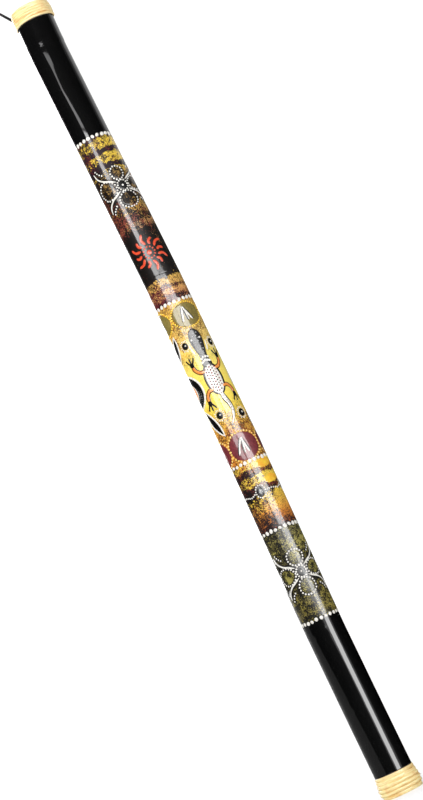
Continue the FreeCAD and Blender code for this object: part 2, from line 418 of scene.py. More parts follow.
class Brush:
    """Collects closed raised shapes of one colour. Sizes are in millimetres along the skin."""

    def __init__(self, seed):
        self.verts = []
        self.faces = []
        self.random = random.Random(seed)

    def add(self, verts, faces):
        base = len(self.verts)
        self.verts += verts
        self.faces += [tuple(base + i for i in face) for face in faces]

    def skin(self, a, z, u, v, lift):
        """The point u mm round and v mm up from angle a and height z (mm)."""
        height = (z + v) * MM
        return at(a + degrees(u * MM / TUBE_R), height, lift * MM)

    def dot(self, a, z, r, rise=None, u=0.0, v=0.0, sides=12):
        """A drop of paint: a low dome, never quite round."""
        rise = rise if rise is not None else min(0.55, 0.3 * r)
        turn = self.random.uniform(0.0, pi)
        stretch = self.random.uniform(1.0, 1.14)
        r *= self.random.uniform(0.93, 1.07)
        verts = [self.skin(a, z, u, v, ROOT)]
        profile = [(0.96, ROOT), (1.0, FOOT), (0.88, FOOT + 0.55 * rise), (0.55, FOOT + 0.9 * rise)]
        for share, lift in profile:
            for k in range(sides):
                t = tau * k / sides
                du, dv = turned(share * r * cos(t) * stretch, share * r * sin(t) / stretch, turn)
                verts.append(self.skin(a, z, u + du, v + dv, lift))
        verts.append(self.skin(a, z, u, v, FOOT + rise))
        self.add(verts, dome(len(profile), sides))

    def patch(self, a, z, outline, lift, rings=6):
        """A flat filled shape, seen whole from its middle. outline is a list of (u, v) in mm."""
        edge, bevel = 0.975, 0.07
        n = len(outline)
        mid_u = sum(p[0] for p in outline) / n
        mid_v = sum(p[1] for p in outline) / n
        levels = [((i + 1) / rings, lift) for i in range(rings - 1)]
        levels += [(edge, lift), (1.0, lift - bevel), (1.0, ROOT)]
        levels += [(1.0 - (i + 1) / (rings + 1), ROOT) for i in range(rings)]
        verts = [self.skin(a, z, mid_u, mid_v, lift)]
        for share, up in levels:
            verts += [self.skin(a, z, mid_u + (u - mid_u) * share, mid_v + (v - mid_v) * share, up)
                      for u, v in outline]
        verts.append(self.skin(a, z, mid_u, mid_v, ROOT))
        self.add(verts, dome(len(levels), n, flip=True))

    def stroke(self, a, z, points, width, lift, rise, tip=0.35, thin=0.0):
        """A brush stroke through (u, v) points in mm, full in the middle and thin at its ends.

        tip is the share of the width that is left at the ends, and thin is the share that it
        loses on its way.
        """
        line = smooth_line(points)
        last = len(line) - 1
        shoulder = lift + 0.8 * rise
        ring = [(-1.0, ROOT), (-1.0, lift), (-0.6, shoulder), (0.0, lift + rise),
                (0.6, shoulder), (1.0, lift), (1.0, ROOT)]
        verts = []
        for i, (u, v) in enumerate(line):
            ahead, back = line[min(i + 1, last)], line[max(i - 1, 0)]
            du, dv = ahead[0] - back[0], ahead[1] - back[1]
            size = hypot(du, dv) or 1.0
            nu, nv = -dv / size, du / size
            t = i / last
            full = (tip + (1.0 - tip) * min(1.0, 5.0 * t, 5.0 * (1.0 - t))) * (1.0 - thin * t)
            half = 0.5 * width * full * (1.0 + 0.06 * sin(9.0 * t + 5.0 * width))
            verts += [self.skin(a, z, u + nu * half * share, v + nv * half * share, up)
                      for share, up in ring]
        self.add(verts, tube(last + 1, len(ring), flip=True))

    def dots_along(self, a, z, points, r, gap, closed=False):
        """Drops at an even spacing along a line."""
        line = smooth_line(points, closed)
        steps = [dist(p, q) for p, q in zip(line, line[1:])]
        total = sum(steps)
        count = max(2, round(total / gap))
        stray = 0.08 * gap
        for i in range(count if closed else count + 1):
            want = total * i / count
            for (p, q), step in zip(zip(line, line[1:]), steps):
                if want <= step or step == steps[-1] and q is line[-1]:
                    t = min(1.0, want / step) if step else 0.0
                    u = p[0] + (q[0] - p[0]) * t
                    v = p[1] + (q[1] - p[1]) * t
                    break
                want -= step
            self.dot(a, z, r, u=u + self.random.uniform(-1.0, 1.0) * stray,
                     v=v + self.random.uniform(-1.0, 1.0) * stray)

    def done(self, name, material):
        new_piece(name, self.verts, self.faces, material, "black_lacquer")


def smooth_line(points, closed=False):
    """A smooth line through the points, eight steps from each to the next."""
    pieces = 8
    pts = list(points)
    if closed:
        pts = [pts[-1]] + pts + [pts[0], pts[1]]
    else:
        pts = [pts[0]] + pts + [pts[-1]]
    out = []
    for corners in zip(pts, pts[1:], pts[2:], pts[3:]):
        for i in range(pieces):
            t = i / pieces
            out.append(tuple(
                0.5 * (2 * b + (c - a) * t + (2 * a - 5 * b + 4 * c - d) * t * t
                       + (3 * b - a - 3 * c + d) * t ** 3)
                for a, b, c, d in zip(*corners)))
    out.append(tuple(pts[-2]))
    return out


def oval(ru, rv, count=28, u=0.0, v=0.0, wobble=0.0):
    """The outline of an oval in mm."""
    out = []
    for i in range(count):
        t = tau * i / count
        k = 1.0 + wobble * sin(3.0 * t + 1.3)
        out.append((u + k * ru * cos(t), v + k * rv * sin(t)))
    return out


# ---- camera ----
def make_camera():
    """A long lens three metres off, rolled so that the stick leans across the frame."""
    away, height = 2.980, 0.2436
    pitch, yaw, roll = radians(6.631), radians(-0.1090), radians(-25.5495)
    forward = Vector((sin(yaw) * cos(pitch), cos(yaw) * cos(pitch),
                      sin(pitch)))
    right = forward.cross(Vector((0, 0, 1))).normalized()
    up = right.cross(forward)
    right, up = (cos(roll) * right + sin(roll) * up,
                 cos(roll) * up - sin(roll) * right)
    data = bpy.data.cameras.new("camera")
    data.sensor_width = 36.0
    data.lens = 98.36
    data.clip_start, data.clip_end = 0.05, 50.0
    camera = link(bpy.data.objects.new("camera", data))
    turn = Matrix((right, up, -forward)).transposed().to_4x4()
    camera.matrix_world = Matrix.Translation((0.0, -away, height)) @ turn
    bpy.context.scene.camera = camera


# ---- the hanging loop ----
LOOP_POINTS = [
    (-0.0235, 0.0179, 1.1920), (-0.0284, 0.0168, 1.1992), (-0.0337, 0.0159, 1.2066),
    (-0.0382, 0.0164, 1.2133), (-0.0413, 0.0206, 1.2194), (-0.0417, 0.0276, 1.2225),
    (-0.0393, 0.0334, 1.2212), (-0.0344, 0.0358, 1.2153), (-0.0288, 0.0346, 1.2074),
    (-0.0226, 0.0316, 1.2004), (-0.0173, 0.0282, 1.1953), (-0.0137, 0.0260, 1.1910),
]
CORD_R = 1.6 * MM
YARNS = 4
YARN_SIDES = 8
YARN_R = 0.50 * CORD_R
LAY = 5.2 * MM         # along the cord, for one turn of a yarn


def spline_points(points):
    """Points read from the smooth line that has these control points."""
    curve = bpy.data.curves.new("route", "CURVE")
    curve.dimensions = "3D"
    spline = curve.splines.new("NURBS")
    spline.points.add(len(points) - 1)
    for point, place in zip(spline.points, points):
        point.co = (*place, 1.0)
    spline.order_u = 3
    spline.use_endpoint_u = True
    spline.resolution_u = 12
    holder = bpy.data.objects.new("route", curve)
    mesh = bpy.data.meshes.new_from_object(holder)
    line = [v.co.copy() for v in mesh.vertices]
    bpy.data.objects.remove(holder)
    bpy.data.curves.remove(curve)
    bpy.data.meshes.remove(mesh)
    return line


def make_loop(material):
    """Thin waxed cord, laid from four twisted yarns."""
    path = spline_points(LOOP_POINTS)
    lengths = [(q - p).length for p, q in zip(path, path[1:])]
    side = Vector((0, 1, 0))
    frames, run = [], 0.0
    for i, p in enumerate(path):
        ahead = (path[min(i + 1, len(path) - 1)] - path[max(i - 1, 0)]).normalized()
        side = (side - ahead * side.dot(ahead)).normalized()
        frames.append((p, side.copy(), ahead.cross(side), run))
        if i < len(lengths):
            run += lengths[i]
    verts, faces = [], []
    for y in range(YARNS):
        faces += tube(len(frames), YARN_SIDES, base=len(verts))
        for p, s, n, run in frames:
            twist = tau * (run / LAY + y / YARNS)
            centre = p + (CORD_R - YARN_R) * (cos(twist) * s + sin(twist) * n)
            for k in range(YARN_SIDES):
                t = tau * k / YARN_SIDES + twist
                verts.append(centre + YARN_R * (cos(t) * s + sin(t) * n))
    obj = new_piece("cord_loop", verts, faces, material, "black_cord", "hanging_loop")


# ---- the cane bindings ----
CANE_STEPS = 168       # points once round a turn of cane
CLIMB_FROM = 0.80      # the share of a turn after which it climbs to the next
# Half of round cane, as (share of a turn's height across, share of its stand-off).
CANE_SECTION = [(-0.52, -0.3), (-0.50, 0.22), (-0.42, 0.66), (-0.24, 0.94), (0.0, 1.0),
                (0.24, 0.94), (0.42, 0.66), (0.50, 0.22), (0.52, -0.3)]


def make_waves(rng, count, fewest, most, least):
    """Random waves round the stick, as (how many, phase, size)."""
    return [(rng.randint(fewest, most), rng.uniform(0, 6.3), rng.uniform(least, 1.0))
            for _ in range(count)]


def winding(name, z_start, step, stands, seed, material, node, twisted_end=False):
    """One strip of half-round cane wound round and round, each turn beside the last.

    step is the height of one turn, negative when the winding goes down from z_start, and stands
    are how far each turn stands off its bed in mm. The strip runs level round the front and
    climbs to the next turn across the back.
    """
    last = len(stands) - 1
    waves = make_waves(random.Random(seed), 5, 2, 9, 0.3)
    bed = TUBE_R + 0.25 * MM
    z_end = z_start + step * len(stands)
    z_low, z_high = min(z_start, z_end), max(z_start, z_end)
    verts = []
    steps = len(stands) * CANE_STEPS
    for i in range(steps + 1):
        turn, k = divmod(i, CANE_STEPS)
        t = k / CANE_STEPS
        climb = min(1.0, max(0.0, (t - CLIMB_FROM) / (1.0 - CLIMB_FROM)))
        climb = climb * climb * (3.0 - 2.0 * climb)
        if turn >= last:
            climb = 0.0
        here = min(turn, last)
        after = min(here + 1, last)
        outer = here in (0, last)
        a = tau * t + pi * 0.9
        wave = sum(s * sin(n * (a + 0.37 * here) + p + 1.9 * here) for n, p, s in waves)
        z = z_start + step * (here + 0.5 + climb) + (0.0 if outer else 0.09 * MM * wave)
        stand = (stands[here] + (stands[after] - stands[here]) * climb) * MM
        swell = 1.0 + 0.035 * sin(5.0 * a + 2.3 * here) + 0.03 * wave
        fade = min(1.0, 14.0 * i / CANE_STEPS, 14.0 * (steps - i) / CANE_STEPS)
        for share, up in CANE_SECTION:
            height = stand * swell * (0.25 + 0.75 * fade) * up
            if twisted_end and here == 0:
                height *= 1.0 + 0.13 * sin(27.0 * a + 3.2 * share)
            across = share * abs(step) * (0.98 if outer else 1.06)
            point = around(a, z, bed + height)
            point.z = min(max(z + across, z_low), z_high)
            verts.append(point)
    faces = tube(steps + 1, len(CANE_SECTION))
    new_piece(name, verts, faces, material, "cane", node)


GLUE_SIDES = 180
# Once round the glue's own section, as (share of its reach along the stick, lift in mm).
GLUE_SECTION = [(0.0, -0.2), (0.02, 0.30), (0.5, 0.38), (0.93, 0.45), (0.985, 0.34), (1.0, 0.02),
                (0.97, -0.25), (0.5, -0.25), (0.02, -0.25)]


def make_glue(name, node, seed, material, drops=()):
    """The glue bed with the uneven edge that it squeezed out with.

    drops are the places where it ran further, as (angle in degrees, mm).
    """
    low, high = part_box(node)
    waves = make_waves(random.Random(seed), 9, 3, 23, 0.2)
    upper = node.startswith("bottom")          # the edge that shows faces up the stick
    verts = []
    for share, lift in GLUE_SECTION:
        for k in range(GLUE_SIDES):
            a = 360.0 * k / GLUE_SIDES
            wave = sum(s * sin(n * radians(a) + p) for n, p, s in waves) / 2.2
            reach = (high.z - low.z) - (0.35 - 0.40 * wave) * MM
            for where, size in drops:
                off = (a - where + 180.0) % 360.0 - 180.0
                reach += size * MM * bell(off, 4.5)
            z = low.z + share * reach if upper else high.z - share * reach
            bead = lift * (1.0 + 0.35 * wave) if lift > 0 else lift
            verts.append(at(a, z, bead * MM + 0.12 * MM))
    faces = quads(len(GLUE_SECTION), GLUE_SIDES, closed=True)
    if not upper:
        faces = [face[::-1] for face in faces]
    new_piece(name, verts, faces, material, "dark_glue", node)


# ---- seeds ----
def make_seeds(node, body, material):
    """Hard dry seeds, each a little different, where the frame has a row of equal beads."""
    low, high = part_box(node)
    r = (high.x - low.x) / 2.0
    centre = (low + high) / 2.0
    count = round((high.z - low.z) / (2.0 * r))
    gap = (high.z - low.z - 2.0 * r) / (count - 1)
    rng = random.Random(node)
    rows, sides = 8, 14
    verts, faces = [], []
    for i in range(count):
        faces += dome(rows - 1, sides, base=len(verts))
        c = Vector((centre.x, centre.y, low.z + r + i * gap))
        turn = rng.uniform(0, 6.3)
        flat = rng.uniform(0.80, 0.95)
        bump = rng.uniform(0.0, 6.3)
        verts.append(c - Vector((0, 0, r)))
        for row in range(1, rows):
            lat = pi * row / rows - pi / 2
            for k in range(sides):
                lon = tau * k / sides
                rr = r * (0.985 - 0.05 * (1 + sin(2 * lon + 3 * lat + bump)) / 2)
                x, y = turned(rr * cos(lat) * cos(lon), flat * rr * cos(lat) * sin(lon), turn)
                verts.append(c + Vector((x, y, r * sin(lat))))
        verts.append(c + Vector((0, 0, r)))
    name = node.replace("seed_stream", "seeds")
    new_piece(name, verts, faces, material, "seed", node, body=body)


# ---- room ----
def make_room():
    """A pale floor that curves up into a backdrop, in even white light."""
    scene = bpy.context.scene
    scene.view_settings.view_transform = "Standard"
    look = Look("pale_floor", 0.9)
    look.set("Base Color", look.ramp(look.noise(1.2, 2.0), [(0, 0.94), (1, 0.96)]))
    half, bend, back, top = 9.0, 2.0, 5.0, 7.0
    profile = [(-half, 0.0), (back - bend, 0.0)]
    profile += [(back - bend + bend * sin(t), bend - bend * cos(t))
                for t in (pi / 2 * i / 12 for i in range(1, 13))]
    profile.append((back, top))
    verts = [Vector((x, y, z)) for y, z in profile for x in (-half, half)]
    faces = [(2 * i, 2 * i + 1, 2 * i + 3, 2 * i + 2) for i in range(len(profile) - 1)]
    floor = new_object("floor", verts, faces, look.material)
    floor.visible_glossy = False
    world = bpy.data.worlds.new("room")
    scene.world = world
    world.use_nodes = True
    background = world.node_tree.nodes["Background"]
    background.inputs["Color"].default_value = linear(1.0)
    background.inputs["Strength"].default_value = 0.80
    world.cycles_visibility.glossy = False


CARD_AWAY = 1.5        # how far the reflected cards stand off, m


def softbox(name, radiance, *rows):
    """A curved glowing card round the stick that shows only as a reflection.

    rows are (height, from, to), with the two directions in degrees from -Y towards +X.
    """
    material = bpy.data.materials.new(name)
    material.use_nodes = True
    nodes, links = material.node_tree.nodes, material.node_tree.links
    nodes.clear()
    glow = nodes.new("ShaderNodeEmission")
    glow.inputs["Strength"].default_value = radiance
    out = nodes.new("ShaderNodeOutputMaterial")
    links.new(glow.outputs[0], out.inputs["Surface"])
    columns = 12
    verts, faces = [], []
    for z, start, end in rows:
        for k in range(columns + 1):
            t = radians(start + (end - start) * k / columns)
            verts.append(Vector((CARD_AWAY * sin(t), -CARD_AWAY * cos(t), z)))
    for i in range(len(rows) - 1):
        for k in range(columns):
            b = i * (columns + 1) + k
            faces.append((b, b + 1, b + columns + 2, b + columns + 1))
    card = new_object(name, verts, faces, material)
    card.visible_camera = card.visible_diffuse = card.visible_shadow = False


def area_light(name, place, aim, size_x, size_y, power):
    data = bpy.data.lights.new(name, "AREA")
    data.shape = "RECTANGLE"
    data.size, data.size_y = size_x, size_y
    data.energy = power
    obj = link(bpy.data.objects.new(name, data))
    turn = (Vector(aim) - Vector(place)).to_track_quat("-Z", "Y")
    obj.matrix_world = Matrix.Translation(place) @ turn.to_matrix().to_4x4()
    obj.visible_camera = obj.visible_glossy = False


# ---- painted bands ----
SOOT, PLUM, UMBER = (24, 20, 18), (40, 26, 34), (52, 34, 22)
YELLOW, GOLD, TAN = (255, 216, 74), (228, 180, 76), (196, 144, 88)
RUST, BRICK, OLIVE = (132, 62, 40), (158, 72, 60), (112, 102, 54)
ORANGE, AMBER, MAROON = (232, 142, 46), (248, 192, 72), (108, 34, 40)
# The sponged grounds under the dot work, from the top of the stick down. Each has its two heights
# in mm, its base, under and over colours, their two covers, its net and, for some, its slants, as
# sponged() takes them.
GROUNDS = (
    ("ground_a", 774.0, 988.8,
     [(0, SOOT), (0.72, SOOT), (0.8, PLUM), (1, PLUM)],
     [(0, MAROON), (0.3, BRICK), (0.5, RUST), (0.7, UMBER), (0.8, MAROON), (1, RUST)],
     [(0, TAN), (0.36, TAN), (0.52, GOLD), (0.68, TAN), (0.78, YELLOW), (1, YELLOW)],
     [(0, 0), (0.27, 0.03), (0.33, 0.38), (0.5, 0.40), (0.62, 0.34), (0.7, 0.32),
      (0.79, 0.16), (0.85, 0.38), (1, 0.30)],
     [(0, 0), (0.31, 0.04), (0.34, 0.36), (0.38, 0.38), (0.40, 0.12), (0.43, 0.30),
      (0.48, 0.36), (0.52, 0.18), (0.66, 0.20), (0.73, 0.38), (0.758, 0.40), (0.770, 0.06),
      (0.802, 0.06), (0.815, 0.44), (0.868, 0.46), (0.88, 0.04), (0.898, 0.06),
      (0.912, 0.45), (0.965, 0.47), (1, 0.2)],
     [(0, 0), (1, 0)], (-0.02, 0.09)),
    ("ground_lumps", 731.9, 774.0,
     [(0, (36, 18, 24)), (0.5, (46, 22, 28)), (1, SOOT)],
     [(0, MAROON), (1, MAROON)],
     [(0, (216, 130, 90)), (0.4, (236, 176, 100)), (1, (238, 192, 86))],
     [(0, 0.5), (0.5, 0.6), (1, 0)],
     [(0, 0.1), (0.16, 0.2), (0.26, 0.50), (0.42, 0.52), (0.50, 0.3), (0.56, 0.36),
      (0.64, 0.54), (0.84, 0.52), (0.92, 0.1), (1, 0)],
     [(0, 0), (1, 0)]),
    ("ground_panel", 489.4, 731.9,
     [(0, (92, 38, 20)), (0.18, (140, 62, 24)), (0.34, (224, 156, 44)), (0.5, (238, 202, 62)),
      (0.66, (206, 146, 58)), (0.78, (160, 98, 46)), (1, (150, 92, 40))],
     [(0, ORANGE), (0.3, AMBER), (0.7, AMBER), (1, GOLD)],
     [(0, AMBER), (0.2, AMBER), (0.35, (253, 232, 92)), (0.65, (250, 236, 122)),
      (0.8, (248, 214, 120)), (1, GOLD)],
     [(0, 0.5), (0.2, 0.5), (0.4, 0.8), (0.62, 0.7), (0.8, 0.5), (1, 0.5)],
     [(0, 0.35), (0.2, 0.38), (0.34, 0.75), (0.62, 0.75), (0.72, 0.6), (1, 0.52)],
     [(0, 0.5), (0.24, 0.95), (0.33, 0.4), (0.38, 0), (0.60, 0), (0.68, 0.5), (0.82, 0.8),
      (1, 0.4)]),
    ("ground_c", 390.5, 489.4,
     [(0, (40, 26, 30)), (0.3, (50, 32, 26)), (0.5, SOOT), (0.75, (44, 22, 26)),
      (1, (46, 28, 26))],
     [(0, MAROON), (0.2, ORANGE), (0.5, RUST), (0.75, MAROON), (1, ORANGE)],
     [(0, ORANGE), (0.16, ORANGE), (0.30, AMBER), (0.5, YELLOW), (1, YELLOW)],
     [(0, 0.30), (0.3, 0.50), (0.5, 0.22), (0.6, 0.42), (0.8, 0.38), (1, 0.5)],
     [(0, 0.05), (0.10, 0.20), (0.20, 0.42), (0.36, 0.50), (0.48, 0.48), (0.53, 0.14),
      (0.64, 0.14), (0.675, 0.56), (0.77, 0.56), (0.80, 0.16), (0.875, 0.16), (0.90, 0.56),
      (0.97, 0.58), (1, 0.4)],
     [(0, 0.3), (0.4, 0.3), (0.5, 0), (1, 0)], (0.06, 0.13)),
    ("ground_d", 257.6, 390.5,
     [(0, (26, 24, 17)), (0.5, (20, 18, 14)), (1, (32, 30, 25))],
     [(0, OLIVE), (1, (86, 80, 46))],
     [(0, (164, 148, 66)), (0.4, (156, 142, 66)), (0.8, (178, 166, 84)), (1, (160, 150, 92))],
     [(0, 0.26), (0.2, 0.38), (0.45, 0.22), (0.7, 0.34), (1, 0.26)],
     [(0, 0.32), (0.12, 0.42), (0.3, 0.36), (0.40, 0.16), (0.6, 0.18), (0.70, 0.38),
      (0.84, 0.46), (0.92, 0.34), (1, 0.36)],
     [(0, 0), (1, 0)]),
)
# Height in mm of each ring of white dots, and how far it droops towards the back.
DOT_RINGS = ((988.8, 2.4), (731.9, 0.0), (489.4, 0.3), (390.5, 1.6), (257.6, -0.4))
RING_DROPS = 24

# Each colour of raised paint: its short name, its piece, its random seed, its colour and its
# darker colour, and for some the scale of its clouds.
PAINTS = (
    ("white", "white_dots", 3, (246, 244, 238), (214, 208, 196)),
    ("black", "black_marks", 5, (14, 13, 14), (8, 8, 9)),
    ("halo", "dark_halos", 14, (20, 17, 16), (34, 26, 20), 460.0),
    ("yellow", "yellow_dots", 6, (254, 224, 70), (236, 182, 40)),
    ("lemon", "lemon_dots", 15, (255, 222, 130), (240, 186, 86)),
    ("amber", "amber_lobes", 16, (252, 210, 58), (240, 156, 40), 120.0),
    ("orange", "orange_rays", 7, (238, 84, 44), (206, 58, 30)),
    ("limb", "orange_limbs", 13, (244, 160, 70), (226, 120, 50)),
    ("red", "red_flecks", 8, (150, 60, 60), (92, 26, 28)),
    ("grey", "grey_flecks", 9, (176, 178, 178), (120, 122, 124)),
    ("olive", "olive_discs", 10, (142, 126, 62), (112, 98, 44)),
    ("maroon", "maroon_discs", 12, (130, 48, 54), (98, 34, 42)),
)
# The same for flecked paint, with its paint's name and then its ground, flecks and their share.
FLECKED_PAINTS = (
    ("rim", "brown_rims", 19, "rim_paint", (84, 38, 18), (226, 150, 46), 0.45),
    ("brown", "brown_petals", 17, "petal_brown", (24, 17, 14), (156, 122, 64), 0.20),
    ("green", "olive_petals", 18, "petal_olive", (38, 36, 22), (152, 142, 72), 0.42),
)
ink = SimpleNamespace(**{short: Brush(seed) for short, _, seed, *_ in PAINTS + FLECKED_PAINTS})
SIDES = (-1, 1)
HALVES = (0, 180)  # degrees on, for what is painted on the front and again on the back


def flower(fill, a, z, petals):
    """A blossom of four dotted loops round a dark eye, with a tendril on each diagonal.

    petals are (half-width, length) in mm of the loops up, left, down and right.
    """
    start = 9
    for k, (turn, (half, length)) in enumerate(zip((90, 180, 270, 0), petals)):
        loops = []
        for grow in (0, 2.8, -2.2):
            loop = []
            for i in range(16):
                q = tau * i / 16
                rise = 0.5 - 0.5 * cos(q)
                along = start - grow + (length - start + 2 * grow) * rise
                across = (half * (0.90 + 0.16 * rise) + grow) * sin(q)
                loop.append(turned(along, across, radians(turn)))
            loops.append(loop)
        ink.halo.patch(a, z, loops[1], lift=0.13 + 0.008 * k)
        fill.patch(a, z, loops[2], lift=0.18)
        ink.white.dots_along(a, z, loops[0], 1.3, 4.1, closed=True)
    ink.halo.patch(a, z, oval(11, 12), lift=0.18)
    ink.black.patch(a, z, oval(5.2, 5.8), lift=0.24)
    ink.white.dots_along(a, z, oval(7.2, 8.2, 12), 1.3, 3.7, closed=True)
    ink.white.dot(a, z, 1.5, rise=0.7)
    for side in SIDES:
        for rise in SIDES:
            bend = [(7, 7), (14, 11), (23, 15.5), (30.5, 22.5), (33, 31)]
            trail = [(21, 24), (25.5, 28), (28.5, 33)]
            bend, trail = ([(side * u, rise * v) for u, v in line] for line in (bend, trail))
            for line, width in ((bend, 5.7), (trail, 5.4)):
                ink.halo.stroke(a, z, line, width, lift=0.11, rise=0.03)
            ink.white.stroke(a, z, bend, 2.3, lift=0.2, rise=0.25)
            ink.white.dots_along(a, z, trail, 1.2, 3.6)


def track(a, z, size, lean, thick=1):
    """Three toes that meet at the top."""
    for du, width in ((-0.33, 0.15), (0, 0.11), (0.33, 0.15)):
        toe = [(lean, 0.5 * size), (lean * 0.4 + 0.55 * du * size, 0), (du * size, -0.5 * size)]
        main, thin = (ink.white, ink.black) if du else (ink.black, ink.white)
        main.stroke(a, z, toe, thick * width * size, lift=0.26, rise=0.12, tip=0.3)
        shift = 0.08 * size * (1 if du >= 0 else -1)
        thin.stroke(a, z, [(u + shift, v) for u, v in toe], 0.07 * size, lift=0.34, rise=0.1)


def sun(a, z, r):
    """A dark eye with a small white painted highlight off its middle, in a ring of short pale rays.
    """
    ink.black.patch(a, z, oval(r, 1.1 * r), lift=0.26)
    # painted highlight: a small white glint dot up and to the +X side of the eye's middle
    ink.white.dot(a, z, 0.26 * r, rise=0.7, u=0.2 * r, v=0.1 * r)
    rays = 17
    for i in range(rays):
        t = tau * i / rays
        c, s = cos(t), 1.1 * sin(t)
        ray = [(reach * r * c, reach * r * s) for reach in (1.12, 1.35, 1.75 if i % 2 else 1.55)]
        ink.white.stroke(a, z, ray, 1.2, lift=0.18, rise=0.15)


def leaf(a, z, u1, v1, width):
    """A slim dark leaf with a pale rim, from the place given to (u1, v1) mm away."""
    size = hypot(u1, v1)
    nu, nv = -v1 / size, u1 / size
    for colour, grow, lift in ((ink.white, 1, 0.19), (ink.black, 0.62, 0.25)):
        outline = []
        for i in range(24):
            t = i / 12 if i < 12 else (24 - i) / 12
            side = 1 if i < 12 else -1
            w = side * 0.5 * width * grow * sin(pi * t) ** 0.8
            run = 0.5 + (t - 0.5) * (0.62 + 0.38 * grow)
            outline.append((u1 * run + nu * w, v1 * run + nv * w))
        colour.patch(a, z, outline, lift=lift)


def lizard(a, z):
    """A plain gecko of simple shapes, head up, the same on both sides but for its bent tail."""
    for side in SIDES:
        for line, way in (([(8, 19), (14.5, 20.5), (19.5, 26), (21, 33)], 1),
                          ([(7, -8), (14, -8), (19.5, -14.5), (20.5, -22)], -1)):
            line = [(side * u, v) for u, v in line]
            ink.black.stroke(a, z, line, 6.4, lift=0.16, rise=0.08, tip=0.7)
            ink.limb.stroke(a, z, line, 3.8, lift=0.24, rise=0.12, tip=0.7)
            foot_u, foot_v = line[-1]
            ink.black.patch(a, z, oval(3.4, 3.8, 16, u=foot_u, v=foot_v + 1.5 * way), lift=0.38)
            for spread in (-1, 0, 1):
                toe = [(foot_u + 1 * spread, foot_v + 1.5 * way),
                       (foot_u + 4.4 * spread, foot_v + 6.5 * way),
                       (foot_u + 6.4 * spread, foot_v + (12.5 - 2 * abs(spread)) * way)]
                ink.black.stroke(a, z, toe, 2.4, lift=0.30, rise=0.14, tip=0.5)
    tail = [(0, -13), (1.5, -24), (4.5, -34), (5, -44), (1.5, -54), (-5, -62)]
    for colour, width, lift in ((ink.black, 9.6, 0.16), (ink.white, 6.6, 0.24)):
        colour.stroke(a, z, tail, width, lift=lift, rise=0.1, tip=0.5, thin=0.8)
    ink.red.dots_along(a, z, tail[:4], 1.1, 4.2)
    ink.black.patch(a, z, oval(13.4, 24, 36, v=5.5), lift=0.26)
    ink.white.patch(a, z, oval(10.6, 21.6, 36, v=5), lift=0.33)
    for row in range(9):
        v = -12.5 + 4.4 * row
        room = 8.6 * sqrt(max(0, 1 - ((v - 5) / 20.5) ** 2))
        ink.red.dot(a, z, 1.5, rise=0.45, v=v)
        for side in SIDES:
            for k, colour in ((1, ink.black), (2, ink.red)):
                if 3.2 * k < room:
                    colour.dot(a, z, 1.25, rise=0.42, u=3.3 * side * k, v=v + 1.5 * k)
    neck = [(-6.6, 26), (6.6, 26), (5.4, 36), (5.2, 46), (0, 50), (-5.2, 46),
            (-5.4, 36)]
    half = [(5.4, 44), (7.6, 52), (9.2, 61), (9, 69), (6.4, 77)]
    head = [(0, 42), *half, (0, 81), *[(-u, v) for u, v in reversed(half)]]
    ink.black.patch(a, z, smooth_line(neck, closed=True)[:-1], lift=0.30)
    ink.black.patch(a, z, smooth_line(head, closed=True)[:-1], lift=0.34)
    for u, v, r in ((5.6, 31.5, 1.9), (4.8, 37, 1.7)):
        ink.white.dots_along(a, z, [(-u, v), (0, v + 2), (u, v)], r, 3)
    for row in range(8):
        for u in ((-4.2, 0, 4.2) if row % 2 else (-2.1, 2.1)):
            ink.grey.dot(a, z, 1.15, rise=0.45, u=u, v=46 + 4 * row)
    for side in SIDES:
        ink.white.dot(a, z, 1.5, rise=0.6, u=6.2 * side, v=66)
        cheek = [(side * 9.4, 46), (side * 11.4, 53), (side * 12.2, 60)]
        ink.white.stroke(a, z, cheek, 2.2, lift=0.20, rise=0.12)


def waterhole(a, z):
    """Concentric rings."""
    for colour, r, lift in ((ink.white, 28.2, 0.18), (ink.black, 25.2, 0.22),
                            (ink.white, 14.6, 0.27), (ink.limb, 13, 0.31),
                            (ink.white, 6.2, 0.36), (ink.black, 4.6, 0.40)):
        colour.patch(a, z, oval(r, 0.98 * r, 40), lift=lift, rings=8)
    ink.white.dots_along(a, z, oval(9.6, 9.6, 16), 1.1, 3.4, closed=True)


def burst(a, z):
    """A spray of short strokes round a few drops, with no rim."""
    ink.orange.dot(a, z, 3.4, rise=0.5, sides=18)
    rays, start = 12, 12
    for i in range(rays):
        t = tau * i / rays
        c, s = cos(t), sin(t)
        ink.orange.dot(a, z, 1.3, u=8.2 * c, v=8.2 * s)
        reach = 27 if i % 2 else 22
        bend = 0.5 * (start + reach)
        ray = [(start * c, start * s), (bend * cos(t + 0.16), bend * sin(t + 0.16)),
               (reach * c, reach * s)]
        ink.orange.stroke(a, z, ray, 3.6, lift=0.2, rise=0.2, tip=0.3)


def disc(a, z, wide, tall, rim, rim_tall, fill, dots, dots_grow, r, gap):
    """A dark disc in a brown rim, with dots round its edge."""
    ink.rim.patch(a, z, oval(wide + rim, tall + rim_tall, 36, wobble=0.02), lift=0.14, rings=8)
    fill.patch(a, z, oval(wide, tall, 36, wobble=0.02), lift=0.2, rings=8)
    grow_wide, grow_tall = dots_grow
    dots.dots_along(a, z, oval(wide + grow_wide, tall + grow_tall, 36), r, gap, closed=True)


